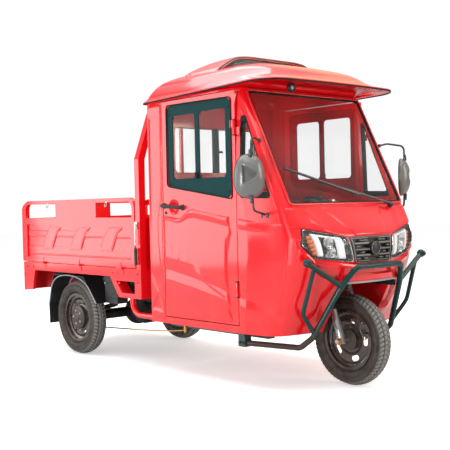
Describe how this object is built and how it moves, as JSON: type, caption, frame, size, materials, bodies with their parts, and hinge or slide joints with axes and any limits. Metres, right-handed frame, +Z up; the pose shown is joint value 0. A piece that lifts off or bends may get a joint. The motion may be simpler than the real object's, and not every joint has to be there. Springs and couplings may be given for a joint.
{
  "type": "enclosed electric cargo tricycle",
  "caption": "Three-wheeled electric utility vehicle with a closed two-door cab, a visored roof, a front bull bar and a drop-side load bed.",
  "frame": {"origin": "on the ground under the middle of the vehicle's bounding box", "axes": "+X to the front, +Y to the left, +Z up"},
  "size_m": [2.9799, 1.46, 1.8929],
  "materials": {
    "red_paint": "gloss",
    "green_paint": "satin",
    "black_paint": "satin",
    "black_steel": "satin",
    "grey_bar": "satin",
    "fork_silver": "brushed",
    "tyre_rubber": "matte",
    "seal_rubber": "matte",
    "clear_glass": "gloss",
    "lamp_lens": "gloss",
    "tail_lens": "gloss",
    "grey_plastic": "matte",
    "mirror_shell": "gloss",
    "seat_cover": "matte",
    "chequer_plate": "satin"
  },
  "bodies": {
    "vehicle": {"main_frame": "green_paint", "steering_head": "green_paint", "bed_bearers": "green_paint", "bull_bar": "green_paint", "bed_rails": "red_paint", "side_brackets": "red_paint", "rear_skirt": "red_paint", "bed_gantry": "red_paint", "bed_hinges": "red_paint", "bed_latches": "black_paint", "bed_floor": "chequer_plate", "tail_lamps": "tail_lens", "lower_guard_tubes": "red_paint", "rear_mudguards": "black_paint", "battery_boxes": "black_paint", "leaf_springs": "black_paint", "rear_axle": "black_paint", "drive_motor": "black_paint", "cab_floor": "red_paint", "cab_rear_panel": "red_paint", "cab_side_right": "red_paint", "cab_side_left": "red_paint", "nose_panel": "red_paint", "roof_cap": "red_paint", "roof_scoop": "red_paint", "grille": "grey_plastic", "headlamps": "lamp_lens", "windscreen": "clear_glass", "cab_windows": "clear_glass", "window_seals": "seal_rubber", "door_hinges": "red_paint", "dashboard": "grey_plastic", "seat_base": "grey_plastic", "seat_cushions": "seat_cover", "mirrors": "mirror_shell", "mirror_arms": "black_paint", "wiper": "black_paint"},
    "steering_body": {"front_fork": "fork_silver", "handlebar": "black_paint"},
    "front_wheel": {"front_rim": "black_steel", "front_tyre": "tyre_rubber"},
    "rear_wheel_right": {"rear_rim_right": "black_steel", "rear_tyre_right": "tyre_rubber"},
    "rear_wheel_left": {"rear_rim_left": "black_steel", "rear_tyre_left": "tyre_rubber"},
    "door_right_body": {"door_right": "red_paint", "door_trim_right": "grey_bar", "door_glass_right": "clear_glass"},
    "door_left_body": {"door_left": "red_paint", "door_trim_left": "grey_bar", "door_glass_left": "clear_glass"},
    "side_board_right_body": {"side_board_right": "red_paint"},
    "side_board_left_body": {"side_board_left": "red_paint"},
    "tailboard_body": {"tailboard": "red_paint"}
  },
  "joints": [
    {"name": "steering", "type": "hinge", "parent": "vehicle", "child": "steering_body", "pos_m": [1.2, 0, 0.255], "axis": [-0.2924, 0, 0.9563], "range_deg": [-35, 35]},
    {"name": "front_wheel_spin", "type": "hinge", "parent": "steering_body", "child": "front_wheel", "pos_m": [1.235, 0, 0.255], "axis": [0, 1, 0], "continuous": true},
    {"name": "rear_wheel_right_spin", "type": "hinge", "parent": "vehicle", "child": "rear_wheel_right", "pos_m": [-0.845, -0.448, 0.255], "axis": [0, 1, 0], "continuous": true},
    {"name": "rear_wheel_left_spin", "type": "hinge", "parent": "vehicle", "child": "rear_wheel_left", "pos_m": [-0.845, 0.448, 0.255], "axis": [0, 1, 0], "continuous": true},
    {"name": "door_right_swing", "type": "hinge", "parent": "vehicle", "child": "door_right_body", "pos_m": [0.8955, -0.545, 1], "axis": [0, 0, 1], "range_deg": [0, 75]},
    {"name": "door_left_swing", "type": "hinge", "parent": "vehicle", "child": "door_left_body", "pos_m": [0.8955, 0.545, 1], "axis": [0, 0, -1], "range_deg": [0, 75]},
    {"name": "side_board_right_drop", "type": "hinge", "parent": "vehicle", "child": "side_board_right_body", "pos_m": [-0.845, -0.574, 0.6325], "axis": [1, 0, 0], "range_deg": [0, 170]},
    {"name": "side_board_left_drop", "type": "hinge", "parent": "vehicle", "child": "side_board_left_body", "pos_m": [-0.845, 0.574, 0.6325], "axis": [-1, 0, 0], "range_deg": [0, 170]},
    {"name": "tailboard_drop", "type": "hinge", "parent": "vehicle", "child": "tailboard_body", "pos_m": [-1.482, 0, 0.6325], "axis": [0, -1, 0], "range_deg": [0, 170]}
  ]
}
